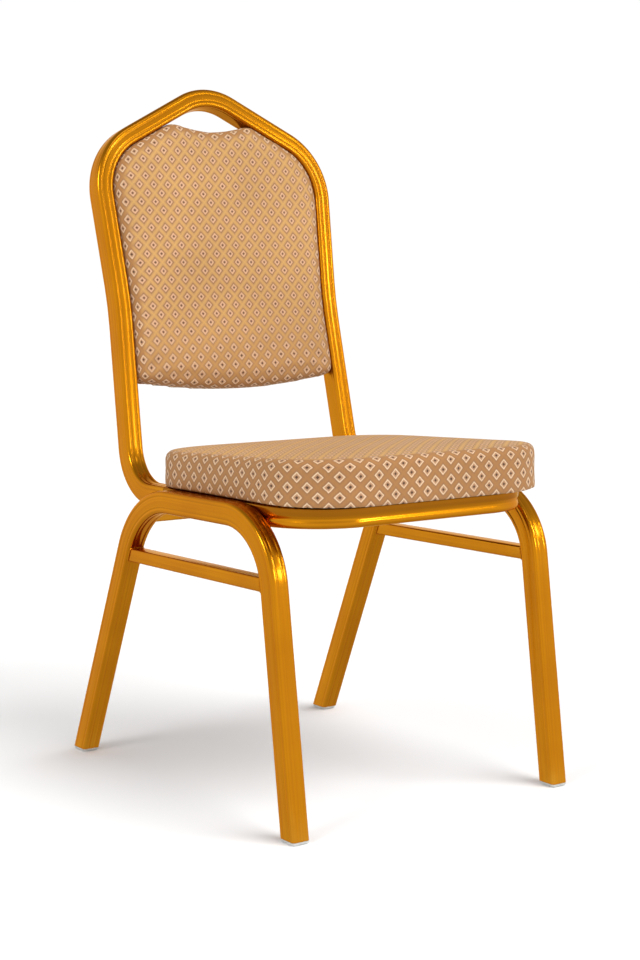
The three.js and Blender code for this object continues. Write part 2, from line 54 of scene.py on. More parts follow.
TUBE_WIDTH, TUBE_DEPTH, TUBE_CORNER = 25, 29, 4.5
RIB_OFFSET, RIB_HALF_WIDTH, RIB_DEPTH = 4.6, 2.0, 0.75
LOOP_RIB_DEPTH = 0.75
LOOP_OUTER_SHARE = 0.3          # a leg loop's ribs are shallower on its outside than on its inside
CROWN_RIB_SHARE = 0.25          # the ribs flatten out towards the crown of the back
CROWN_FADE_FROM, CROWN_FADE_OVER = 790, 60
FLANK_OFFSET, FLANK_HALF_WIDTH, FLANK_DEPTH = 7.4, 1.8, 0.45
LOOP_X = 206.5
FRONT_FOOT_Y, FRONT_RAKE = -257, 0.14
REAR_FOOT_Y, REAR_RAKE = 257, 0.438
LOOP_TOP_Z, LOOP_TOP_FALL = 376.5, 0.014
LOOP_FRONT_RADIUS, LOOP_REAR_RADIUS = 90, 120
LEG_END_Z = 4.3
RAIL_X, RAIL_Z, RAIL_FALL = 181.2, 376.8, 0.012
RAIL_FRONT_Y, RAIL_REAR_Y, RAIL_RADIUS, RAIL_DEPTH = -241, 60, 80, 27.5
WAIST_Y, WAIST_Z, LEAN = 207, 623, 0.2
SLOPE = math.hypot(1, LEAN)
WAIST_X = 171.3
SHOULDER_X, SHOULDER_S = 183.2, 205.5
APEX_S = 300.3
BEND_BOTTOM, BEND_WAIST, BEND_SHOULDER, BEND_APEX = 70, 600, 90, 82
STRETCHER_WIDTH, STRETCHER_HEIGHT, STRETCHER_CORNER = 20, 17.5, 2.5
STRETCHER_Z, STRETCHER_FALL, STRETCHER_GAP = 298, 0.016, 1
CROSSBAR_GAP = 0.3
CROSSBAR_WIDTH, CROSSBAR_HEIGHT, CROSSBAR_Z = 20, 19.2, 351
RAIL_GAP = 0.3
RAIL_GROOVE = (-2.5, 5.0, 1.1)

SEAT_HALF_X, SEAT_FRONT_Y, SEAT_REAR_Y, SEAT_RADIUS = 198, -280, 114, 94
SEAT_MIDDLE_Y = (SEAT_FRONT_Y + SEAT_REAR_Y) / 2
SEAT_HALF_Y = (SEAT_REAR_Y - SEAT_FRONT_Y) / 2
SEAT_BASE_Z = RAIL_Z + TUBE_DEPTH / 2 * math.hypot(1, RAIL_FALL)
SEAT_REAR_DROP = 0.035

PAD_GAP = 1.8
PEAK_X, PEAK_S, DIP_S = 62, 251, 240
PAD_BOTTOM_S, PAD_CORNER_S, PAD_CORNER_R = -120, -105.5, 9
PAD_FRONT = -21
PANEL_FRONT, PANEL_REAR = 6.7, 12.5


def place(x, y, z):
    """A point given in the CAD's own millimetres, in the row frame's metres."""
    return Vector((x * MM, (y + Y_SHIFT) * MM, z * MM))


def srgb(red, green, blue):
    """A colour given as 0 to 255 display values, as linear values."""
    def linear(value):
        value /= 255
        return value / 12.92 if value <= 0.04045 else ((value + 0.055) / 1.055) ** 2.4
    return (linear(red), linear(green), linear(blue), 1.0)


# ---- camera --------------------------------------------------------------------------

CAMERA_AT = (-1.4085, -1.979, 0.687)
CAMERA_LENS, CAMERA_SENSOR = 68.74, 36
CAMERA_AZIMUTH, CAMERA_DOWN = 35.72, 6.93


def make_camera():
    data = bpy.data.cameras.new("camera")
    data.sensor_width = CAMERA_SENSOR
    data.lens = CAMERA_LENS
    data.clip_end = 50
    camera = bpy.data.objects.new("camera", data)
    SCENE.collection.objects.link(camera)
    camera.location = CAMERA_AT
    turn, tilt = math.radians(CAMERA_AZIMUTH), math.radians(CAMERA_DOWN)
    ahead = Vector((math.sin(turn) * math.cos(tilt), math.cos(turn) * math.cos(tilt), -math.sin(tilt)))
    camera.rotation_mode = "QUATERNION"
    camera.rotation_quaternion = ahead.to_track_quat("-Z", "Y")
    SCENE.camera = camera


make_camera()


# ---- node helpers --------------------------------------------------------------------

class Nodes:
    """A short way to write a shader: each call adds one node and returns its main output."""

    def __init__(self, name):
        self.material = bpy.data.materials.new(name)
        self.material.use_nodes = True
        self.tree = self.material.node_tree
        self.shader = self.tree.nodes["Principled BSDF"]

    def add(self, kind, output=0, settings=(), **inputs):
        node = self.tree.nodes.new(kind)
        for key, value in dict(settings).items():
            setattr(node, key, value)
        for key, value in inputs.items():
            socket = node.inputs[int(key[1:])] if key[0] == "i" and key[1:].isdigit() else node.inputs[key]
            self.feed(socket, value)
        return node.outputs[output]

    def feed(self, socket, value):
        if isinstance(value, bpy.types.NodeSocket):
            self.tree.links.new(value, socket)
        else:
            socket.default_value = value

    def math(self, operation, first, second=0.0, third=0.0):
        return self.add("ShaderNodeMath", settings={"operation": operation}, i0=first, i1=second, i2=third)

    def noise(self, vector, scale, detail=2.0, rough=0.5):
        return self.add("ShaderNodeTexNoise", Vector=vector, Scale=scale, Detail=detail, Roughness=rough)

    def ramp(self, value, stops):
        node = self.tree.nodes.new("ShaderNodeValToRGB")
        elements = node.color_ramp.elements
        while len(elements) < len(stops):
            elements.new(0.5)
        for element, (position, colour) in zip(elements, stops):
            element.position = position
            element.color = colour if len(colour) == 4 else (*colour, 1)
        self.tree.links.new(value, node.inputs[0])
        return node.outputs[0]

    def grey(self, value, low, high, from_low=0.0, from_high=1.0):
        node = self.tree.nodes.new("ShaderNodeMapRange")
        self.feed(node.inputs["Value"], value)
        for key, number in (("From Min", from_low), ("From Max", from_high), ("To Min", low), ("To Max", high)):
            node.inputs[key].default_value = number
        return node.outputs[0]

    def mix(self, factor, first, second):
        node = self.tree.nodes.new("ShaderNodeMix")
        node.data_type = "RGBA"
        self.feed(node.inputs[0], factor)
        self.feed(node.inputs[6], first)
        self.feed(node.inputs[7], second)
        return node.outputs[2]

    def bump(self, height, strength, distance):
        node = self.tree.nodes.new("ShaderNodeBump")
        node.inputs["Strength"].default_value = strength
        node.inputs["Distance"].default_value = distance
        self.tree.links.new(height, node.inputs["Height"])
        return node.outputs[0]

    def split(self, vector):
        """The x, y and z of a vector."""
        node = self.tree.nodes.new("ShaderNodeSeparateXYZ")
        self.tree.links.new(vector, node.inputs[0])
        return node.outputs

    def set(self, **inputs):
        for key, value in inputs.items():
            self.feed(self.shader.inputs[key.replace("_", " ")], value)
        return self.material

    def place(self):
        return self.add("ShaderNodeTexCoord", output=3)

    def stretched(self, scale):
        return self.add("ShaderNodeMapping", Vector=self.place(), Scale=scale)


# ---- materials -----------------------------------------------------------------------

def gold_paint(name, scuff=0.5, painted_shade=0.0):
    """Gold metallic lacquer: faint drawing lines along the tube, wear on the ridges, and painted shade that darkens
    the upper half of a tube's section, standing in for the shade and dark reflections under the seat's overhanging
    cushion."""
    n = Nodes(name)
    place_ = n.place()
    cloud = n.noise(place_, 14.0, 3.0)
    grain = n.add("ShaderNodeAttribute", output=1, settings={"attribute_name": "grain"})
    drawn = n.noise(n.add("ShaderNodeMapping", Vector=grain, Scale=(450.0, 450.0, 5.0)), 1.0, 1.0)
    base = n.ramp(cloud, [(0.3, srgb(201, 126, 0)), (0.7, srgb(211, 136, 4))])
    base = n.mix(n.grey(drawn, 0.0, 0.4, 0.35, 0.75), base, srgb(180, 106, 4))
    geometry = n.tree.nodes.new("ShaderNodeNewGeometry")
    ridge = n.grey(geometry.outputs["Pointiness"], 0.0, 1.0, 0.53, 0.6)
    worn = n.math("MULTIPLY", ridge, n.grey(cloud, 0.1, 1.0, 0.4, 0.7))
    base = n.mix(n.math("MULTIPLY", worn, scuff), base, srgb(232, 178, 70))
    # painted shade: the upper half of the section is pulled towards a dark gold, for the shade under the cushion's
    # overhang
    if painted_shade:
        base = n.mix(n.grey(n.split(grain)[1], 0.0, painted_shade, 0.0005, 0.0025), base, srgb(120, 66, 2))
    rough = n.math("ADD", n.grey(n.noise(place_, 60.0, 3.0), 0.2, 0.25), n.grey(drawn, -0.01, 0.02))
    return n.set(Base_Color=base, Metallic=1.0, Roughness=rough, Specular_Tint=srgb(255, 214, 130),
                 Coat_Weight=0.15, Coat_Roughness=0.12, Normal=n.bump(n.noise(place_, 40.0, 1.0), 0.02, 0.001))


def patterned_fabric(name):
    """Woven cloth with small framed diamonds. Its "weave" map counts one unit for each repeat, and its "bend"
    attribute
    marks where painted sheen and shade go: there the ground is painted darker for shade and the frames paler for
    sheen."""
    n = Nodes(name)
    weave = n.add("ShaderNodeUVMap", settings={"uv_map": "weave"})
    bend = n.add("ShaderNodeAttribute", output=2, settings={"attribute_name": "bend"})
    place_ = n.place()
    across, along = n.split(weave)[:2]
    jitter = n.grey(n.noise(place_, 240.0, 1.0), -0.035, 0.035)

    def cell(value):
        shifted = n.math("ADD", n.math("ADD", value, 0.5), jitter)
        return n.math("MULTIPLY", n.math("ABSOLUTE", n.math("SUBTRACT", n.math("FRACT", shifted), 0.5)), 2.0)

    first = cell(n.math("ADD", across, along))
    second = cell(n.math("SUBTRACT", across, along))
    diamond = n.math("SMOOTH_MAX", first, second, 0.06)
    flat = n.ramp(diamond, [(place_in_cell, FLAT_YARNS[yarn]) for place_in_cell, yarn in FLAT_CELL])
    # painted sheen and shade: where the cloth turns over an edge, a darker ground and paler frames stand in for light
    sheen_shade_colour = n.ramp(diamond, [(place_in_cell, SIDE_SHEEN_SHADE_YARNS[yarn]) for place_in_cell, yarn in SIDE_SHEEN_SHADE_CELL])
    colour = n.mix(bend, flat, sheen_shade_colour)
    thread_across = n.add("ShaderNodeTexWave", settings={"wave_type": "BANDS", "bands_direction": "X"},
                          output=1, Vector=weave, Scale=9.0, Distortion=0.6)
    thread_along = n.add("ShaderNodeTexWave", settings={"wave_type": "BANDS", "bands_direction": "Y"},
                         output=1, Vector=weave, Scale=11.0, Distortion=0.6)
    threads = n.math("ADD", thread_across, thread_along)
    slub = n.noise(n.add("ShaderNodeMapping", Vector=weave, Scale=(30.0, 2.0, 1.0)), 1.0, 2.0)
    patches = n.noise(place_, 9.0, 3.0)
    tone = n.math("MULTIPLY", n.grey(patches, 0.93, 1.07, 0.3, 0.7), n.grey(slub, 0.95, 1.06, 0.3, 0.7))
    tone = n.math("MULTIPLY", tone, n.grey(threads, 0.93, 1.05, 0.0, 2.0))
    value = n.tree.nodes.new("ShaderNodeHueSaturation")
    n.tree.links.new(colour, value.inputs["Color"])
    n.tree.links.new(tone, value.inputs["Value"])
    raised = n.ramp(diamond, [(place_in_cell, (height,) * 3) for place_in_cell, height in YARN_HEIGHTS])
    height = n.math("ADD", raised, n.math("MULTIPLY", threads, 0.35))
    rough = n.grey(diamond, 0.62, 0.8)
    return n.set(Base_Color=value.outputs[0], Roughness=rough, Specular_IOR_Level=0.3, Sheen_Weight=0.1,
                 Sheen_Roughness=0.4, Sheen_Tint=srgb(255, 226, 180), Normal=n.bump(height, 0.3, 0.0006))


def plywood():
    n = Nodes("plywood")
    grain = n.noise(n.stretched((16.0, 160.0, 160.0)), 1.0, 5.0, 0.6)
    plies = n.add("ShaderNodeTexWave", settings={"bands_direction": "Z"}, output=1, Vector=n.place(),
                  Scale=70.0, Distortion=0.5)
    base = n.ramp(grain, [(0.3, srgb(176, 138, 92)), (0.7, srgb(214, 180, 132))])
    base = n.mix(n.grey(plies, 0.0, 0.35), base, srgb(130, 94, 58))
    return n.set(Base_Color=base, Roughness=n.grey(grain, 0.6, 0.8), Normal=n.bump(grain, 0.3, 0.0004))


def dust_cloth():
    n = Nodes("dust_cloth")
    fibre = n.noise(n.place(), 700.0, 3.0)
    dots = n.add("ShaderNodeTexVoronoi", Vector=n.place(), Scale=380.0, settings={"feature": "DISTANCE_TO_EDGE"})
    base = n.ramp(fibre, [(0.3, srgb(24, 24, 25)), (0.7, srgb(52, 51, 50))])
    return n.set(Base_Color=base, Roughness=n.grey(fibre, 0.82, 0.98), Normal=n.bump(dots, 0.35, 0.0004))


def zinc_plate():
    n = Nodes("zinc_plate")
    spangle = n.noise(n.place(), 300.0, 3.0)
    base = n.ramp(spangle, [(0.3, srgb(150, 154, 158)), (0.7, srgb(196, 198, 200))])
    return n.set(Base_Color=base, Metallic=0.95, Roughness=n.grey(spangle, 0.28, 0.45),
                 Normal=n.bump(spangle, 0.1, 0.0003))


def milky_plastic():
    n = Nodes("milky_plastic")
    haze = n.noise(n.place(), 90.0, 3.0)
    scratch = n.noise(n.stretched((300.0, 300.0, 2500.0)), 1.0, 2.0)
    base = n.ramp(haze, [(0.3, srgb(214, 216, 214)), (0.7, srgb(240, 240, 237))])
    return n.set(Base_Color=base, Roughness=n.grey(scratch, 0.3, 0.5), Transmission_Weight=0.35, IOR=1.49,
                 Subsurface_Weight=0.2, Subsurface_Radius=(0.004, 0.004, 0.004),
                 Normal=n.bump(scratch, 0.15, 0.0004))


GOLD = gold_paint("gold_paint")
# the seat rail's upper band carries painted shade, for the shade under the cushion's overhang
RAIL_GOLD = gold_paint("gold_rail", painted_shade=0.6)
WELD = gold_paint("gold_weld", 0.2)
FLAT_YARNS = {
    "dot": srgb(112, 76, 54), "inner": srgb(206, 164, 130), "edge": srgb(142, 102, 66), "ground": srgb(186, 142, 92),
    "line": srgb(200, 156, 92)}
# painted sheen and shade: the colours for where the cloth turns over an edge, a darker ground for shade and pale
# frames for sheen
SIDE_SHEEN_SHADE_YARNS = {
    "dot": srgb(84, 58, 40), "inner": srgb(176, 134, 100), "frame": srgb(216, 186, 152), "edge": srgb(140, 98, 62),
    "ground": srgb(156, 112, 72), "line": srgb(166, 118, 70)}
FLAT_CELL = [                   # from the dot in the middle of a diamond out to the line between diamonds
    (0.0, "dot"), (0.14, "dot"), (0.25, "inner"), (0.40, "inner"), (0.52, "edge"), (0.58, "edge"), (0.68, "ground"),
    (0.86, "ground"), (0.95, "line")]
SIDE_SHEEN_SHADE_CELL = [
    (0.0, "dot"), (0.13, "dot"), (0.23, "inner"), (0.36, "inner"), (0.42, "frame"), (0.52, "frame"), (0.60, "edge"),
    (0.70, "ground"), (1.0, "line")]
YARN_HEIGHTS = [(0.0, 0.4), (0.2, 0.6), (0.45, 1.0), (0.6, 0.2), (1.0, 0.3)]
FABRIC = patterned_fabric("patterned_fabric")
PLYWOOD, DUST, ZINC, PLASTIC = plywood(), dust_cloth(), zinc_plate(), milky_plastic()


# ---- mesh helpers --------------------------------------------------------------------

def new_piece(name, points, faces, material, replaces=(), sharp=40):
    """A mesh piece in the row frame, riding on the one body."""
    mesh = bpy.data.meshes.new(name)
    mesh.from_pydata([tuple(p) for p in points], [], faces)
    mesh.validate()
    mesh.update()
    piece = bpy.data.objects.new(name, mesh)
    SCENE.collection.objects.link(piece)
    finish_piece(piece, material, replaces, sharp)
    return piece


def finish_piece(piece, material, replaces=(), sharp=40):
    mesh = piece.data
    mesh.materials.clear()
    mesh.materials.append(material)
    mesh.polygons.foreach_set("use_smooth", [True] * len(mesh.polygons))
    mesh.set_sharp_from_angle(angle=math.radians(sharp))
    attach(piece, "root")
    if replaces:
        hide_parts(*replaces)


def tube_between(rings, closed=False):
    """Points and faces of a skin over equal rings, with a flat cap at each open end."""
    count, size = len(rings), len(rings[0])
    points = [p for ring in rings for p in ring]
    faces = []
    for i in range(count if closed else count - 1):
        here, there = i * size, ((i + 1) % count) * size
        for j in range(size):
            k = (j + 1) % size
            faces.append((here + j, here + k, there + k, there + j))
    if not closed:
        faces.append(tuple(range(size - 1, -1, -1)))
        faces.append(tuple(range((count - 1) * size, count * size)))
    return points, faces


def rounded_rectangle(half_x, half_y, corner, face_detail=None, side_detail=None, steps=6):
    """A section, counter-clockwise: the right side, the top face, the left side, then the bottom face."""
    def arc(cx, cy, start):
        angles = [math.radians(start + 90 * i / steps) for i in range(steps + 1)]
        return [(cx + corner * math.cos(a), cy + corner * math.sin(a)) for a in angles]

    face = face_detail or []
    flank = side_detail or []
    x, y = half_x - corner, half_y - corner
    outline = [(half_x - depth, t) for t, depth in flank]
    outline += arc(x, y, 0)
    outline += [(t, half_y - depth) for t, depth in reversed(face)]
    outline += arc(-x, y, 90)
    outline += [(-half_x + depth, t) for t, depth in reversed(flank)]
    outline += arc(-x, -y, 180)
    outline += [(t, -half_y + depth) for t, depth in face]
    outline += arc(x, -y, 270)
    return outline


def groove(centre, half_width, depth, steps=8):
    """A soft groove across a flat face, as (position, depth) pairs."""
    samples = [(-1 + 2 * i / steps) for i in range(steps + 1)]
    return [(centre + half_width * t, depth * 0.5 * (1 + math.cos(math.pi * t))) for t in samples]


def ribbed_section(rib_depth):
    ribs = groove(-RIB_OFFSET, RIB_HALF_WIDTH, rib_depth) + groove(RIB_OFFSET, RIB_HALF_WIDTH, rib_depth)
    lines = (groove(-FLANK_OFFSET, FLANK_HALF_WIDTH, FLANK_DEPTH)
             + groove(FLANK_OFFSET, FLANK_HALF_WIDTH, FLANK_DEPTH))
    return rounded_rectangle(TUBE_WIDTH / 2, TUBE_DEPTH / 2, TUBE_CORNER, ribs, lines)


def ring_at(point, x, tangent):
    """A ring of a tube, as its middle and the two axes that its section is drawn on."""
    return point, x, tangent.cross(x)


def bent_rings(corners, start_x, step_degrees=3.0):
    """Rings of a tube bent at each inner corner, given as (point, radius), with the ends' radius 0."""
    points = [Vector(p) for p, _ in corners]
    heading = (points[1] - points[0]).normalized()
    x = (start_x - heading * start_x.dot(heading)).normalized()
    rings = [ring_at(points[0], x, heading)]
    for i in range(1, len(corners) - 1):
        radius = corners[i][1]
        following = (points[i + 1] - points[i]).normalized()
        angle = heading.angle(following)
        axis = heading.cross(following).normalized()
        start = points[i] - heading * radius * math.tan(angle / 2)
        centre = start + axis.cross(heading) * radius
        steps = max(2, round(math.degrees(angle) / step_degrees))
        for step in range(steps + 1):
            turn = Quaternion(axis, angle * step / steps)
            rings.append(ring_at(centre + turn @ (start - centre), turn @ x, turn @ heading))
        x = Quaternion(axis, angle) @ x
        heading = following
    rings.append(ring_at(points[-1], x, heading))
    return rings


def mitred(ring, normal):
    point, x, y = ring
    tangent = x.cross(y).normalized()
    along = tangent.dot(normal)
    lean = [axis - tangent * (axis.dot(normal) / along) for axis in (x, y)]
    return point, lean[0], lean[1]


def with_mitred_ends(rings, first, last):
    return [mitred(rings[0], first), *rings[1:-1], mitred(rings[-1], last)]


def with_filled_straights(rings, pitch=40):
    """The same rings with more between far ones, so that faces stay short."""
    filled = [rings[0]]
    for (p0, x0, y0), (p1, x1, y1) in zip(rings, rings[1:]):
        pieces = max(1, round((p1 - p0).length / pitch))
        for i in range(1, pieces + 1):
            t = i / pieces
            filled.append((p0.lerp(p1, t), x0.lerp(x1, t), y0.lerp(y1, t)))
    return filled


def full_ribs(_point, _sy):
    return 1.0


def swept_tube(name, section, rings, material, replaces, rib_share=full_ribs):
    """A tube of the given section. rib_share(point, section y) is the share of their depth that its ribs keep.
    Its "grain" attribute holds the place in the section and the distance along, in metres."""
    filled = with_filled_straights(rings)

    def section_y(p, sx, sy):
        share = rib_share(p, sy)
        if share >= 1 or abs(sx) > TUBE_WIDTH / 2 - TUBE_CORNER:
            return sy
        return math.copysign(TUBE_DEPTH / 2 - (TUBE_DEPTH / 2 - abs(sy)) * share, sy)

    skin = [[place(*(p + x * sx + y * section_y(p, sx, sy))) for sx, sy in section] for p, x, y in filled]
    points, faces = tube_between(skin)
    piece = new_piece(name, points, faces, material, replaces)
    steps = [0] + [(b[0] - a[0]).length for a, b in zip(filled, filled[1:])]
    grain = np.array([(sx * MM, sy * MM, along * MM) for along in np.cumsum(steps) for sx, sy in section], np.float32)
    piece.data.attributes.new("grain", "FLOAT_VECTOR", "POINT").data.foreach_set("vector", grain.ravel())


# ---- frame tubes ---------------------------------------------------------------------

X_AXIS, Y_AXIS, Z_AXIS = Vector((1, 0, 0)), Vector((0, 1, 0)), Vector((0, 0, 1))
LEGS = {"front": (FRONT_FOOT_Y, FRONT_RAKE), "rear": (REAR_FOOT_Y, REAR_RAKE)}


def leg_point(leg, side, z):
    foot_y, rake = LEGS[leg]
    return Vector((side * LOOP_X, foot_y - math.copysign(rake * z, foot_y), z))


def leg_top(leg, side):
    foot_y, rake = LEGS[leg]
    z = (LOOP_TOP_Z - LOOP_TOP_FALL * foot_y) / (1 - LOOP_TOP_FALL * math.copysign(rake, foot_y))
    return leg_point(leg, side, z)


def loop_rib_share(_point, sy):
    return LOOP_OUTER_SHARE if sy > 0 else 1.0


def leg_loop(label, side):
    rings = bent_rings([
        (leg_point("rear", side, LEG_END_Z), 0),
        (leg_top("rear", side), LOOP_REAR_RADIUS),
        (leg_top("front", side), LOOP_FRONT_RADIUS),
        (leg_point("front", side, LEG_END_Z), 0)], X_AXIS)
    rings = with_mitred_ends(rings, Z_AXIS, Z_AXIS)
    swept_tube(f"{label}_loop", ribbed_section(LOOP_RIB_DEPTH), rings, GOLD, [f"{label}_leg_loop"],
               loop_rib_share)


def foot_glide(label, leg, side):
    """A plug-in glide: domed tread, collar almost as wide as the tube, and the plug inside it."""
    profile = [                 # (height, share of the tube's section)
        (0, 0.80), (0.25, 0.87), (0.8, 0.935), (1.6, 0.975), (2.6, 0.99), (3.95, 0.99), (4.0, 0.84), (20, 0.82)]
    section = rounded_rectangle(TUBE_WIDTH / 2, TUBE_DEPTH / 2, TUBE_CORNER)
    rings = []
    for z, scale in profile:
        centre = leg_point(leg, side, z)
        rings.append([place(centre.x + sx * scale, centre.y + sy * scale, z) for sx, sy in section])
    points, faces = tube_between(rings)
    name = f"foot_glide_{leg}_{label}"
    new_piece(f"glide_{leg}_{label}", points, faces, PLASTIC, [name], 35)


def stretcher_end(leg, side):
    foot_y, rake = LEGS[leg]
    toward = -math.copysign(1, foot_y)
    face = TUBE_DEPTH / 2 * math.hypot(1, rake) + STRETCHER_GAP
    level_y = foot_y + toward * (rake * STRETCHER_Z + face)
    y = level_y / (1 + toward * rake * STRETCHER_FALL)
    return Vector((side * LOOP_X, y, STRETCHER_Z - STRETCHER_FALL * y))


def box_section(width, height, corner):
    return rounded_rectangle(width / 2, height / 2, corner, steps=5)


def side_stretcher(label, side):
    rings = bent_rings([(stretcher_end("rear", side), 0), (stretcher_end("front", side), 0)], X_AXIS)
    rings = with_mitred_ends(rings, Vector((0, 1, REAR_RAKE)), Vector((0, 1, -FRONT_RAKE)))
    section = box_section(STRETCHER_WIDTH, STRETCHER_HEIGHT, STRETCHER_CORNER)
    swept_tube(f"{label}_stretcher", section, rings, GOLD, [f"{label}_side_stretcher"])
    for leg, ring, sign in (("rear", rings[0], -1), ("front", rings[-1], 1)):
        weld_round(f"weld_{leg}_{label}", ring, STRETCHER_WIDTH, STRETCHER_HEIGHT, sign)


def crossbar():
    reach = LOOP_X - TUBE_WIDTH / 2 - CROSSBAR_GAP
    rings = bent_rings([((-reach, CROSSBAR_Y, CROSSBAR_Z), 0), ((reach, CROSSBAR_Y, CROSSBAR_Z), 0)], Y_AXIS)
    section = box_section(CROSSBAR_WIDTH, CROSSBAR_HEIGHT, STRETCHER_CORNER)
    swept_tube("crossbar", section, rings, GOLD, ["rear_crossbar"])
    for label, ring, sign in (("left", rings[0], -1), ("right", rings[-1], 1)):
        weld_round(f"weld_crossbar_{label}", ring, CROSSBAR_WIDTH, CROSSBAR_HEIGHT, sign)


def weld_round(name, ring, width, height, sign):
    """A painted weld bead round the end of a rectangular tube, with the ripple of each puddle."""
    centre, x, y = ring
    outward = x.cross(y).normalized() * sign
    track = box_section(width + 1.0, height + 1.0, STRETCHER_CORNER + 0.5)
    path = []
    for (ax, ay), (bx, by) in zip(track, track[1:] + track[:1]):
        pieces = max(1, round(math.hypot(bx - ax, by - ay) / 1.2))
        path += [(ax + (bx - ax) * i / pieces, ay + (by - ay) * i / pieces) for i in range(pieces)]
    rings = []
    for i, (sx, sy) in enumerate(path):
        bead = 1.15 + 0.28 * math.sin(i * 1.9) + 0.12 * math.sin(i * 0.53)
        radial = (x * sx + y * sy).normalized()
        middle = centre + x * sx + y * sy + outward * 0.2
        rings.append([place(*(middle + (radial * math.cos(a) + outward * math.sin(a)) * bead))
                      for a in (math.tau * k / 8 for k in range(8))])
    points, faces = tube_between(rings, closed=True)
    new_piece(name, points, faces, WELD, sharp=60)


def weld_line(name, start, end, bead=1.5):
    """A straight fillet between two tubes that lie side by side."""
    start, end = Vector(start), Vector(end)
    along = (end - start).normalized()
    x = along.orthogonal().normalized()
    y = along.cross(x)
    count = max(6, round((end - start).length / 1.3))
    rings = []
    for i in range(count + 1):
        t = i / count
        taper = math.sin(math.pi * min(max(t, 0.02), 0.98)) ** 0.35
        size = bead * taper * (1 + 0.22 * math.sin(i * 1.7) + 0.1 * math.sin(i * 0.61))
        middle = start.lerp(end, t)
        rings.append([place(*(middle + (x * math.cos(a) + y * math.sin(a)) * size))
                      for a in (math.tau * k / 8 for k in range(8))])
    points, faces = tube_between(rings)
    new_piece(name, points, faces, WELD, sharp=60)


def back_point(x, s, out=0.0):
    """A point of the back: x across, s up the slope from the waist, out to the rear."""
    return Vector((x, WAIST_Y + (s * LEAN + out) / SLOPE, WAIST_Z + (s - out * LEAN) / SLOPE))


def rail_z(y, lift=0.0):
    return RAIL_Z + lift - RAIL_FALL * y


BACK_BOTTOM_S = (rail_z(WAIST_Y) - WAIST_Z) * SLOPE / (1 + RAIL_FALL * LEAN)


def crown_rib_share(point, _sy):
    return 1 - (1 - CROWN_RIB_SHARE) * min(max((point.z - CROWN_FADE_FROM) / CROWN_FADE_OVER, 0), 1)


def back_frame():
    def half(side):
        return [
            (Vector((side * RAIL_X, RAIL_REAR_Y, rail_z(RAIL_REAR_Y))), 0),
            (back_point(side * RAIL_X, BACK_BOTTOM_S), BEND_BOTTOM),
            (back_point(side * WAIST_X, 0), BEND_WAIST),
            (back_point(side * SHOULDER_X, SHOULDER_S), BEND_SHOULDER)]
    corners = half(-1) + [(back_point(0, APEX_S), BEND_APEX)] + half(1)[::-1]
    rings = bent_rings(corners, X_AXIS, 2.5)
    swept_tube("back_frame", ribbed_section(RIB_DEPTH), rings, GOLD, ["back_frame_tube"],
               crown_rib_share)


def seat_rail():
    lift = (TUBE_DEPTH - RAIL_DEPTH) / 2

    def rail_point(side, y):
        return Vector((side * RAIL_X, y, rail_z(y, lift)))
    corners = [
        (rail_point(-1, RAIL_REAR_Y - RAIL_GAP), 0), (rail_point(-1, RAIL_FRONT_Y), RAIL_RADIUS),
        (rail_point(1, RAIL_FRONT_Y), RAIL_RADIUS), (rail_point(1, RAIL_REAR_Y - RAIL_GAP), 0)]
    rings = bent_rings(corners, X_AXIS)
    ribs = groove(-RIB_OFFSET, RIB_HALF_WIDTH, RIB_DEPTH) + groove(RIB_OFFSET, RIB_HALF_WIDTH, RIB_DEPTH)
    flank = groove(*RAIL_GROOVE, steps=12)
    section = rounded_rectangle(TUBE_WIDTH / 2, RAIL_DEPTH / 2, TUBE_CORNER, ribs, flank)
    swept_tube("seat_rail", section, rings, RAIL_GOLD, ["seat_frame_rail"])


def frame_welds():
    """Fillets under the seat rail, where each leg loop runs beside it."""
    gap_x = (LOOP_X + RAIL_X) / 2
    for label, side in (("left", -1), ("right", 1)):
        low = RAIL_Z - TUBE_DEPTH / 2 + 1.6
        for spot, y0, y1 in (("front", -150, -105), ("rear", 20, 75)):
            weld_line(f"weld_rail_{spot}_{label}", (side * gap_x, y0, low - RAIL_FALL * y0),
                      (side * gap_x, y1, low - RAIL_FALL * y1))


for LABEL, SIDE in (("left", -1), ("right", 1)):
    leg_loop(LABEL, SIDE)
    side_stretcher(LABEL, SIDE)
    foot_glide(LABEL, "front", SIDE)
    foot_glide(LABEL, "rear", SIDE)
back_frame()
seat_rail()
crossbar()
frame_welds()


# ---- cushions: shared steps ------------------------------------------------------------

def coordinates(mesh):
    flat = np.empty(len(mesh.vertices) * 3)
    mesh.vertices.foreach_get("co", flat)
    return flat.reshape(-1, 3)


def normals(mesh):
    flat = np.empty(len(mesh.vertices) * 3)
    mesh.vertex_normals.foreach_get("vector", flat)
    return flat.reshape(-1, 3)


def smoothstep(value, low, high):
    t = np.clip((value - low) / (high - low), 0, 1)
    return t * t * (3 - 2 * t)


def remeshed(name, points, faces, voxel):
    mesh = bpy.data.meshes.new(name)
    mesh.from_pydata([tuple(p) for p in points], [], faces)
    mesh.update()
    blank = bpy.data.objects.new(name, mesh)
    SCENE.collection.objects.link(blank)
    remesh = blank.modifiers.new("remesh", "REMESH")
    remesh.mode = "VOXEL"
    remesh.voxel_size = voxel
    bpy.context.view_layer.update()
    depsgraph = bpy.context.evaluated_depsgraph_get()
    solid = bpy.data.meshes.new_from_object(blank.evaluated_get(depsgraph))
    blank.modifiers.clear()
    blank.data = solid
    return blank


CLOTH_FRAMES = 16
CLOTH_PRESSURE = 4.0
MOST_SLIDE, MOST_SINK = 0.001, 0.0006     # how far a point may move along the surface, and inwards


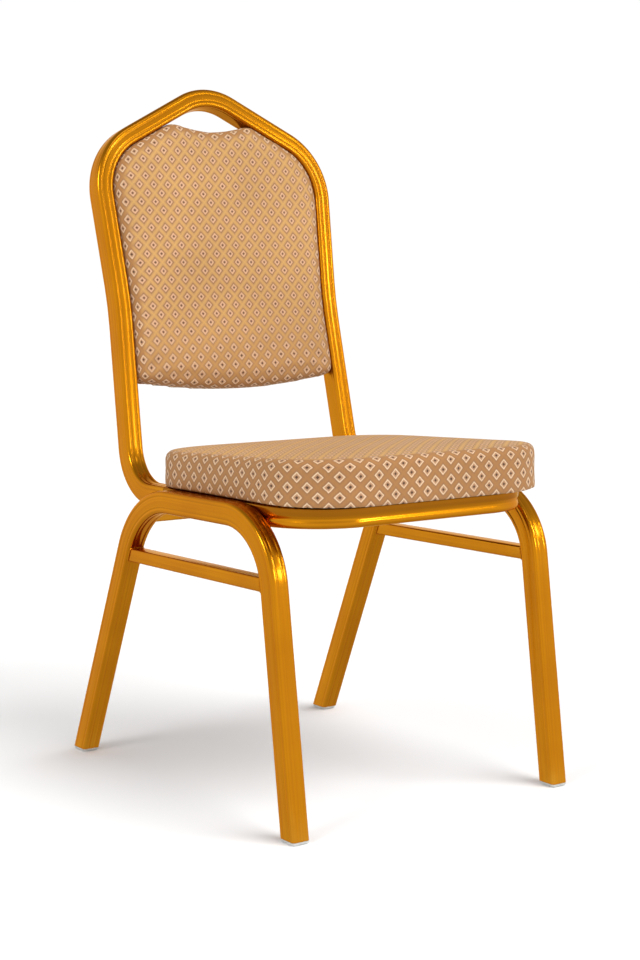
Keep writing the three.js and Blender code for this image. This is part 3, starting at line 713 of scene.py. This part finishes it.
def puff(cushion, held, cap):
    """Lets the cover swell as cloth. held is each point's pin weight; no point moves further out than its cap."""
    before = coordinates(cushion.data)
    outward = normals(cushion.data)
    group = cushion.vertex_groups.new(name="held")
    for weight in np.unique(np.round(held, 2)):
        group.add(np.flatnonzero(np.round(held, 2) == weight).tolist(), float(weight), "REPLACE")
    cloth = cushion.modifiers.new("cloth", "CLOTH")
    cloth.settings.quality = 5
    cloth.settings.mass = 0.3
    cloth.settings.tension_stiffness = 25
    cloth.settings.compression_stiffness = 25
    cloth.settings.shear_stiffness = 12
    cloth.settings.bending_stiffness = 3
    cloth.settings.use_pressure = True
    cloth.settings.uniform_pressure_force = CLOTH_PRESSURE
    cloth.settings.effector_weights.gravity = 0
    cloth.settings.vertex_group_mass = "held"
    cloth.point_cache.frame_start, cloth.point_cache.frame_end = 1, CLOTH_FRAMES
    for number in range(1, CLOTH_FRAMES + 1):
        SCENE.frame_set(number)
    depsgraph = bpy.context.evaluated_depsgraph_get()
    swollen = bpy.data.meshes.new_from_object(cushion.evaluated_get(depsgraph))
    after = coordinates(swollen)
    cushion.modifiers.clear()
    SCENE.frame_set(1)
    move = after - before
    swell = np.sum(move * outward, axis=1)
    slide = move - outward * swell[:, None]
    slide *= np.minimum(1, MOST_SLIDE / np.maximum(np.linalg.norm(slide, axis=1, keepdims=True), 1e-9))
    move = (slide + outward * np.clip(swell, -MOST_SINK, cap)[:, None]) * (1 - held[:, None])
    cushion.data.vertices.foreach_set("co", (before + move).ravel())
    cushion.data.update()


def relaxed_and_subdivided(cushion):
    smooth = cushion.modifiers.new("smooth", "SMOOTH")
    smooth.factor, smooth.iterations = 0.5, 1
    subdivide = cushion.modifiers.new("subdivide", "SUBSURF")
    subdivide.levels = subdivide.render_levels = 1
    depsgraph = bpy.context.evaluated_depsgraph_get()
    fine = bpy.data.meshes.new_from_object(cushion.evaluated_get(depsgraph))
    cushion.modifiers.clear()
    cushion.data = fine


def write_weave(mesh, corner_uv, bend):
    """corner_uv(points, normals, face middles) gives each face corner's place in the pattern, in repeats."""
    mesh.attributes.new("bend", "FLOAT", "POINT").data.foreach_set("value", bend.astype(np.float32))
    layer = mesh.uv_layers.new(name="weave")
    corners = np.empty(len(mesh.loops), np.int32)
    mesh.loops.foreach_get("vertex_index", corners)
    sizes = np.empty(len(mesh.polygons), np.int32)
    mesh.polygons.foreach_get("loop_total", sizes)
    middles = np.empty(len(mesh.polygons) * 3)
    mesh.polygons.foreach_get("center", middles)
    middles = np.repeat(middles.reshape(-1, 3), sizes, axis=0)
    uv = corner_uv(coordinates(mesh)[corners] / MM, normals(mesh)[corners], middles / MM)
    layer.data.foreach_set("uv", uv.astype(np.float32).ravel())


# ---- seat cushion ----------------------------------------------------------------------

SEAT_REPEAT = 24.3
SEAT_DOT = (9.0, -280.25)       # one of the pattern's dots on the flat top
SEAT_EDGE = 50                  # height above the seat's base where the top turns into the side
SEAT_ROLL = 9                   # distance in from the outline where the side's pattern ends
SEAT_TILT = math.atan(RAIL_FALL)
SEAT_LEAN = 0.0215              # how much the side's rows of diamonds rise towards the rear
SEAT_ROLL_HOLD = 0.8            # how firmly the rolled edge is held while the seat swells
SEAT_SIDE_SWELL, SEAT_TOP_SWELL = 0.0012, 0.0018
GATHER_DEPTH = 0.75
SEAT_VOXEL, PAD_VOXEL, PANEL_VOXEL = 0.0045, 0.005, 0.0032
# (distance in from the outline, height above the seat's base)
SEAT_HEM = [(60, 1.6), (15, 1.6), (12, 0.5), (1, 0.4), (-0.9, 0.9), (-0.8, 4), (0.2, 24)]
SEAT_CROWN = [(-0.2, 40), (0.6, 45.5), (3.2, 49.6), (8, 51.8), (19, 52.6), (45, 53.4), (85, 54.2), (140, 54.6)]


def seat_to_frame(points):
    """Seat millimetres, with z up from the base, to the row frame."""
    c, s = math.cos(SEAT_TILT), math.sin(SEAT_TILT)
    x, y, z = points[:, 0], points[:, 1], points[:, 2]
    return np.stack([x, y * c + z * s + Y_SHIFT, -y * s + z * c + SEAT_BASE_Z], axis=1) * MM


def frame_to_seat(points):
    c, s = math.cos(SEAT_TILT), math.sin(SEAT_TILT)
    x, y, z = points[:, 0], points[:, 1] - Y_SHIFT, points[:, 2] - SEAT_BASE_Z
    return np.stack([x, y * c - z * s, y * s + z * c], axis=1)


def seat_outline(inset, steps=14):
    radius = max(SEAT_RADIUS - inset, 5)
    half_x, half_y = SEAT_HALF_X - inset - radius, SEAT_HALF_Y - inset - radius
    outline = []
    centres = ((half_x, half_y, 0), (-half_x, half_y, 90), (-half_x, -half_y, 180), (half_x, -half_y, 270))
    for cx, cy, start in centres:
        for i in range(steps + 1):
            a = math.radians(start + 90 * i / steps)
            outline.append((cx + radius * math.cos(a), SEAT_MIDDLE_Y + cy + radius * math.sin(a)))
    return outline


def seat_blank():
    """The pad before it swells: flat hem, upright side, rolled edge and a low crown."""
    def top(y, rise):
        return rise - SEAT_REAR_DROP * (y - SEAT_MIDDLE_Y)
    rings = [[(x, y, z) for x, y in seat_outline(inset)] for inset, z in SEAT_HEM]
    rings += [[(x, y, top(y, z)) for x, y in seat_outline(inset)] for inset, z in SEAT_CROWN]
    points, faces = tube_between(rings)
    return seat_to_frame(np.array(points)), faces


def seat_inward(points):
    """Distance inside the outline, and how far round its corner a point lies, from 0 to 1."""
    qx = np.abs(points[:, 0]) - (SEAT_HALF_X - SEAT_RADIUS)
    qy = np.abs(points[:, 1] - SEAT_MIDDLE_Y) - (SEAT_HALF_Y - SEAT_RADIUS)
    corner = (qx > 0) & (qy > 0)
    inside = np.where(corner, SEAT_RADIUS - np.hypot(qx, qy), SEAT_RADIUS - np.maximum(qx, qy))
    angle = np.arctan2(np.maximum(qx, 1e-6), np.maximum(qy, 1e-6))
    turn = np.where(corner, angle / (math.pi / 2), (qx > qy) * 1.0)
    return inside, turn


def nearest_dot(anchor, reference, reach=80):
    """The dot of the pattern through anchor that lies closest to reference."""
    half = SEAT_REPEAT / 2
    steps = range(-reach, reach + 1)
    dots = [(anchor[0] + i * half, anchor[1] + j * half) for i in steps for j in steps if (i + j) % 2 == 0]
    return min(dots, key=lambda dot: math.hypot(dot[0] - reference[0], dot[1] - reference[1]))


def seat_weave(points, _normals, middles):
    """The pattern lies flat on the top. Round the side it is laid out along the outline, in step with the top at
    the front, the flanks and the rear, and the corners between them take up the difference."""
    local = frame_to_seat(points)
    x, y, z = local.T
    inside, turn = seat_inward(local)
    right = np.where(x < 0, -1.0, 1.0)
    straight_x, straight_y = SEAT_HALF_X - SEAT_RADIUS, SEAT_HALF_Y - SEAT_RADIUS
    arc = SEAT_RADIUS * math.pi / 2
    front = y < SEAT_MIDDLE_Y
    dot_x, dot_y = SEAT_DOT
    side_start = straight_x + arc
    side_end = side_start + 2 * straight_y
    uv = np.empty((len(x), 2))
    for sign in (-1.0, 1.0):
        flank_y0 = SEAT_MIDDLE_Y - straight_y
        at_front = (dot_x, -SEAT_FRONT_Y + SEAT_EDGE + dot_y)
        flank_dot = (sign * (side_start + dot_y - flank_y0), SEAT_HALF_X + SEAT_EDGE - sign * dot_x)
        at_flank = nearest_dot(flank_dot, at_front)
        rear_dot = (sign * (side_end + arc + straight_x - sign * dot_x), SEAT_REAR_Y + SEAT_EDGE - dot_y)
        at_rear = nearest_dot(rear_dot, at_flank)
        for zone, start, end in ((front, at_front, at_flank), (~front, at_rear, at_flank)):
            pick = (right == sign) & zone
            t = turn[pick]
            along_corner = arc * t + np.where(t >= 1, straight_y - np.abs(y[pick] - SEAT_MIDDLE_Y), 0)
            along_flat = np.where(t <= 0, np.abs(x[pick]), straight_x)
            run = along_flat + along_corner
            if start is at_rear:
                run = side_end + arc + straight_x - run
            over = np.clip(inside[pick], 0, 60) * smoothstep(z[pick], 30, 42)
            rise = SEAT_LEAN * (y[pick] - SEAT_FRONT_Y)
            uv[pick, 0] = sign * run - (start[0] + (end[0] - start[0]) * t)
            uv[pick, 1] = z[pick] + rise + over - (start[1] + (end[1] - start[1]) * t)
    middle = frame_to_seat(middles)
    flat = (middle[:, 2] > 30) & (seat_inward(middle)[0] > SEAT_ROLL)
    uv[flat, 0] = x[flat] - dot_x
    uv[flat, 1] = y[flat] - dot_y
    return uv / SEAT_REPEAT


def corner_gathers(mesh):
    """Small folds where the cover is pulled under each rounded corner."""
    points = coordinates(mesh) / MM
    local = frame_to_seat(points)
    inside, turn = seat_inward(local)
    round_corner = np.clip(np.sin(np.pi * np.clip(turn, 0, 1)), 0, 1)
    low = 1 - smoothstep(local[:, 2], 1, 17)
    wave = np.sin(turn * 34) * 0.6 + np.sin(turn * 57 + 1.3) * 0.4
    depth = GATHER_DEPTH * round_corner * low * wave * (inside < 20)
    centre = np.array([0, SEAT_MIDDLE_Y])
    outward = local[:, :2] - centre
    outward /= np.maximum(np.linalg.norm(outward, axis=1, keepdims=True), 1)
    local[:, :2] += outward * depth[:, None]
    mesh.vertices.foreach_set("co", seat_to_frame(local).ravel())
    mesh.update()


def seat_cushion():
    points, faces = seat_blank()
    cushion = remeshed("seat_cushion", points, faces, SEAT_VOXEL)
    local = frame_to_seat(coordinates(cushion.data) / MM)
    roll = SEAT_ROLL_HOLD * (seat_inward(local)[0] < 16) * smoothstep(local[:, 2], 30, 38)
    held = np.maximum(1 - smoothstep(local[:, 2], 2, 16), roll)
    upward = normals(cushion.data)[:, 2]
    puff(cushion, held, SEAT_SIDE_SWELL + SEAT_TOP_SWELL * smoothstep(upward, 0.2, 0.9))
    relaxed_and_subdivided(cushion)
    corner_gathers(cushion.data)
    finish_piece(cushion, FABRIC, ["seat_cover", "seat_foam"], 60)
    local = frame_to_seat(coordinates(cushion.data) / MM)
    on_top = smoothstep(seat_inward(local)[0], SEAT_ROLL - 1, SEAT_ROLL + 5) * (local[:, 2] > 30)
    # off the flat top, the cloth takes the painted sheen and shade colours
    write_weave(cushion.data, seat_weave, 1 - on_top)


# ---- back pad and rear panel -------------------------------------------------------------

BACK_REPEAT_X, BACK_REPEAT_S = 22.3, 24.0
BACK_DOT = (1.0, 89.5)          # one of the pattern's dots
PAD_MIDDLE_S = 60
PAD_SIDE_SWELL, PAD_FACE_SWELL = 0.0003, 0.003
WAIST_EASE, WAIST_EASE_REACH = 0.8, 30      # how far, and over what height, the uprights' bend is rounded off
# (distance in from the outline, scale about the middle, distance out to the rear)
PAD_LEVELS = [
    (40, 1, 4.0), (3, 1, 4.0), (-1.0, 1, 3.0), (-2.4, 1, 0.5), (-2.4, 1, -9), (-1.6, 1, -13), (0.8, 1, -16.4),
    (4.6, 1, -18.5), (12, 0.99, -19.5), (24, 0.9, -20.1), (30, 0.6, -20.4), (30, 0.3, -20.5)]
PANEL_LEVELS = [
    (30, 0.9, PANEL_FRONT), (0, 1, PANEL_FRONT), (-1.1, 1, PANEL_FRONT + 0.5), (-1.2, 1, PANEL_REAR - 3),
    (-0.7, 1, PANEL_REAR - 1.4), (1.5, 1, PANEL_REAR - 0.5), (8, 1, PANEL_REAR - 0.1), (30, 0.9, PANEL_REAR)]


def inside_x(s):
    """Half the width left between the uprights at s, less the gap that the pad keeps."""
    lower = (RAIL_X - WAIST_X) / -BACK_BOTTOM_S
    upper = (SHOULDER_X - WAIST_X) / SHOULDER_S
    ease = WAIST_EASE * max(0, 1 - abs(s) / WAIST_EASE_REACH) ** 2
    axis = WAIST_X + (-s * lower if s < 0 else s * upper) + ease
    return axis - TUBE_WIDTH / 2 - PAD_GAP


def pad_half(inset):
    """Right half of the pad's outline, from the middle of its bottom to the dip in its top."""
    def bottom_s(x):
        return PAD_BOTTOM_S + (PAD_CORNER_S - PAD_BOTTOM_S) * (x / 155) ** 2 + inset

    def side(s):
        return inside_x(s) - inset

    low = PAD_CORNER_S + PAD_CORNER_R + inset
    half = [(x, bottom_s(x)) for x in range(0, 121, 20)]
    half += [(side(low) - PAD_CORNER_R, bottom_s(147)), (side(low) - 5.2, low - 8.1),
             (side(low) - 2.3, low - 5.6), (side(low), low)]
    half += [(side(s), s) for s in range(-80, 141, 20)]
    slope = (APEX_S - SHOULDER_S) / SHOULDER_X
    under = (TUBE_WIDTH / 2 + PAD_GAP) * math.hypot(1, slope) + inset * 1.12

    def slope_s(x):
        return APEX_S - slope * x - under
    turn = BEND_SHOULDER - TUBE_WIDTH / 2 - PAD_GAP - inset
    cx = SHOULDER_X - BEND_SHOULDER - 4.2
    cs = slope_s(cx) - turn * math.hypot(1, slope)
    for i in range(13):
        a = math.radians(5 * i)
        s = cs + turn * math.sin(a)
        half.append((min(cx + turn * math.cos(a), side(s)), s))
    peak = PEAK_X - inset * 0.3
    half += [(peak + 14, slope_s(peak + 14)), (peak + 3, slope_s(peak + 3) - 0.4), (peak - 6, PEAK_S - inset - 1.2)]
    for part in (0.85, 0.72, 0.58, 0.45, 0.32, 0.2, 0.1, 0):
        half.append((peak * part, DIP_S + (PEAK_S - DIP_S) * part ** 1.6 - inset))
    return half


def pad_outline(inset):
    right = pad_half(inset)
    return right + [(-x, s) for x, s in right[-2:0:-1]]


def back_to_frame(points):
    """Back millimetres (x, s, out) to the row frame."""
    x, s, out = points[:, 0], points[:, 1], points[:, 2]
    y = WAIST_Y + (s * LEAN + out) / SLOPE + Y_SHIFT
    z = WAIST_Z + (s - out * LEAN) / SLOPE
    return np.stack([x, y, z], axis=1) * MM


def frame_to_back(points):
    y, z = points[:, 1] - WAIST_Y - Y_SHIFT, points[:, 2] - WAIST_Z
    return np.stack([points[:, 0], (y * LEAN + z) / SLOPE, (y - z * LEAN) / SLOPE], axis=1)


def pad_blank(levels):
    rings = []
    for inset, scale, out in levels:
        rings.append([(x * scale, PAD_MIDDLE_S + (s - PAD_MIDDLE_S) * scale, out) for x, s in pad_outline(inset)])
    points, faces = tube_between(rings)
    return back_to_frame(np.array(points)), [face[::-1] for face in faces]


def back_weave(front):
    """The pattern lies flat on the pad's face and carries on round its sides."""
    def weave(points, vertex_normals, _middles):
        local = frame_to_back(points)
        across = vertex_normals[:, 0]
        up = (vertex_normals[:, 1] * LEAN + vertex_normals[:, 2]) / SLOPE
        behind = np.clip(local[:, 2] - front, 0, 30) if front < 0 else np.clip(front - local[:, 2], 0, 30)
        x = local[:, 0] + across * behind
        s = local[:, 1] + up * behind
        return np.stack([(x - BACK_DOT[0]) / BACK_REPEAT_X, (s - BACK_DOT[1]) / BACK_REPEAT_S], axis=1)
    return weave


def sheen_shade_mask(mesh):
    """Where painted sheen and shade go: 1 along the pad's outline and over its sides, rising to 0.6 towards the
    bottom of its face, and 0 elsewhere.
    """
    place_ = frame_to_back(coordinates(mesh) / MM)[:, :2]
    start = np.array(pad_outline(0))
    step = np.roll(start, -1, axis=0) - start
    gap = place_[:, None] - start
    part = np.clip(np.sum(gap * step, axis=2) / np.sum(step * step, axis=1), 0, 1)
    inside = np.linalg.norm(gap - part[:, :, None] * step, axis=2).min(axis=1)
    low = smoothstep(-place_[:, 1], 0, 110)
    return np.maximum(1 - smoothstep(inside, 5, 15), 0.6 * low)


def back_pad():
    points, faces = pad_blank(PAD_LEVELS)
    pad = remeshed("back_pad", points, faces, PAD_VOXEL)
    local = frame_to_back(coordinates(pad.data) / MM)
    held = smoothstep(local[:, 2], -7, 1)
    facing = -normals(pad.data)[:, 1]
    puff(pad, held, PAD_SIDE_SWELL + PAD_FACE_SWELL * smoothstep(facing, 0.4, 0.9))
    relaxed_and_subdivided(pad)
    finish_piece(pad, FABRIC, ["back_front_cover", "back_foam"], 60)
    write_weave(pad.data, back_weave(PAD_FRONT), sheen_shade_mask(pad.data))


def rear_panel():
    # its levels run from front to rear, the other way round from the pad's, so its faces turn back again
    points, faces = pad_blank(PANEL_LEVELS)
    panel = remeshed("rear_panel", points, [face[::-1] for face in faces], PANEL_VOXEL)
    relaxed_and_subdivided(panel)
    finish_piece(panel, FABRIC, ["back_rear_panel"], 60)
    write_weave(panel.data, back_weave(PANEL_REAR), sheen_shade_mask(panel.data))


seat_cushion()
back_pad()
rear_panel()


# ---- carried-over CAD nodes ----------------------------------------------------------------

CARRIED = {
    "seat_board": PLYWOOD, "back_board": PLYWOOD, "seat_dust_cover": DUST, "seat_tab": GOLD, "back_tab": GOLD,
    "seat_bolt": ZINC, "seat_washer": ZINC, "tee_nut": ZINC, "back_screw": ZINC}
for NAME, NODE in NODES.items():
    for PREFIX, MATERIAL in CARRIED.items():
        if NAME.startswith(PREFIX):
            NODE.data.materials.clear()
            NODE.data.materials.append(MATERIAL)


# ---- stage and light -------------------------------------------------------------------------

FLOOR_REACH = 150
# (sine of the height above the horizon, strength)
SWEEP = [(-0.6, 0.66), (-0.3, 0.84), (-0.08, 0.98), (0.0, 1.02), (0.2, 1.0), (0.85, 0.35)]


def make_floor():
    mesh = bpy.data.meshes.new("floor")
    corners = [(x * FLOOR_REACH, y * FLOOR_REACH, 0) for x, y in ((-1, -1), (1, -1), (1, 1), (-1, 1))]
    mesh.from_pydata(corners, [], [(0, 1, 2, 3)])
    n = Nodes("floor_white")
    shade = n.ramp(n.noise(n.place(), 1.5), [(0.3, (0.93, 0.93, 0.93)), (0.7, (0.95, 0.95, 0.95))])
    n.set(Base_Color=shade, Roughness=0.9)
    mesh.materials.append(n.material)
    floor = bpy.data.objects.new("floor", mesh)
    SCENE.collection.objects.link(floor)
    floor.visible_glossy = False


def make_world():
    """A white sweep round the horizon that darkens overhead and underfoot."""
    world = bpy.data.worlds.new("studio")
    world.use_nodes = True
    tree = world.node_tree
    ray = tree.nodes.new("ShaderNodeTexCoord")
    split = tree.nodes.new("ShaderNodeSeparateXYZ")
    height = tree.nodes.new("ShaderNodeMapRange")
    sweep = tree.nodes.new("ShaderNodeValToRGB")
    tree.links.new(ray.outputs["Generated"], split.inputs[0])
    tree.links.new(split.outputs["Z"], height.inputs["Value"])
    height.inputs["From Min"].default_value = -1
    tree.links.new(height.outputs[0], sweep.inputs[0])
    stops = sweep.color_ramp.elements
    while len(stops) < len(SWEEP):
        stops.new(0.5)
    for stop, (z, strength) in zip(stops, SWEEP):
        stop.position = (z + 1) / 2
        stop.color = (strength, strength, strength, 1)
    tree.links.new(sweep.outputs[0], tree.nodes["Background"].inputs["Strength"])
    tree.nodes["Background"].inputs["Color"].default_value = (1, 1, 1, 1)
    SCENE.world = world


def add_light(name, kind, location, target, power, size=(1, 1), angle=0.0, seen_by=("diffuse", "glossy")):
    data = bpy.data.lights.new(name, kind)
    data.energy = power
    if kind == "AREA":
        data.shape = "RECTANGLE"
        data.size, data.size_y = size
    else:
        data.angle = math.radians(angle)
    light = bpy.data.objects.new(name, data)
    SCENE.collection.objects.link(light)
    light.location = location
    light.visible_diffuse = "diffuse" in seen_by
    light.visible_glossy = "glossy" in seen_by
    light.rotation_mode = "QUATERNION"
    light.rotation_quaternion = (Vector(target) - Vector(location)).to_track_quat("-Z", "Y")


make_floor()
make_world()
add_light("ceiling_bank", "SUN", (0.9, -1.8, 3.2), target=(0, 0, 0.4), power=2.3, angle=40, seen_by=("diffuse",))
add_light("box_left", "AREA", (-1.9, -0.6, 1.9), target=(0, 0, 0.6), power=14, size=(0.7, 0.7))
# lights that only the paint's reflections show
for NAME, LOCATION, TARGET, POWER, SIZE in (
        ("strip_right", (1.5, -1.5, 1.4), (0.17, 0.2, 0.75), 3.8, (0.15, 0.5)),
        ("strip_front", (0.8, -1.5, 0.8), (-0.05, -0.2, 0.4), 1.8, (0.16, 0.3)),
        ("strip_narrow", (0.65, -1.5, 0.8), (-0.05, -0.2, 0.4), 0.6, (0.06, 0.3)),
        ("box_front", (0.5, -1.3, 2.2), (0, 0, 0.5), 1.6, (0.5, 0.5))):
    add_light(NAME, "AREA", LOCATION, TARGET, POWER, SIZE, seen_by=("glossy",))
SCENE.view_settings.view_transform = "Standard"
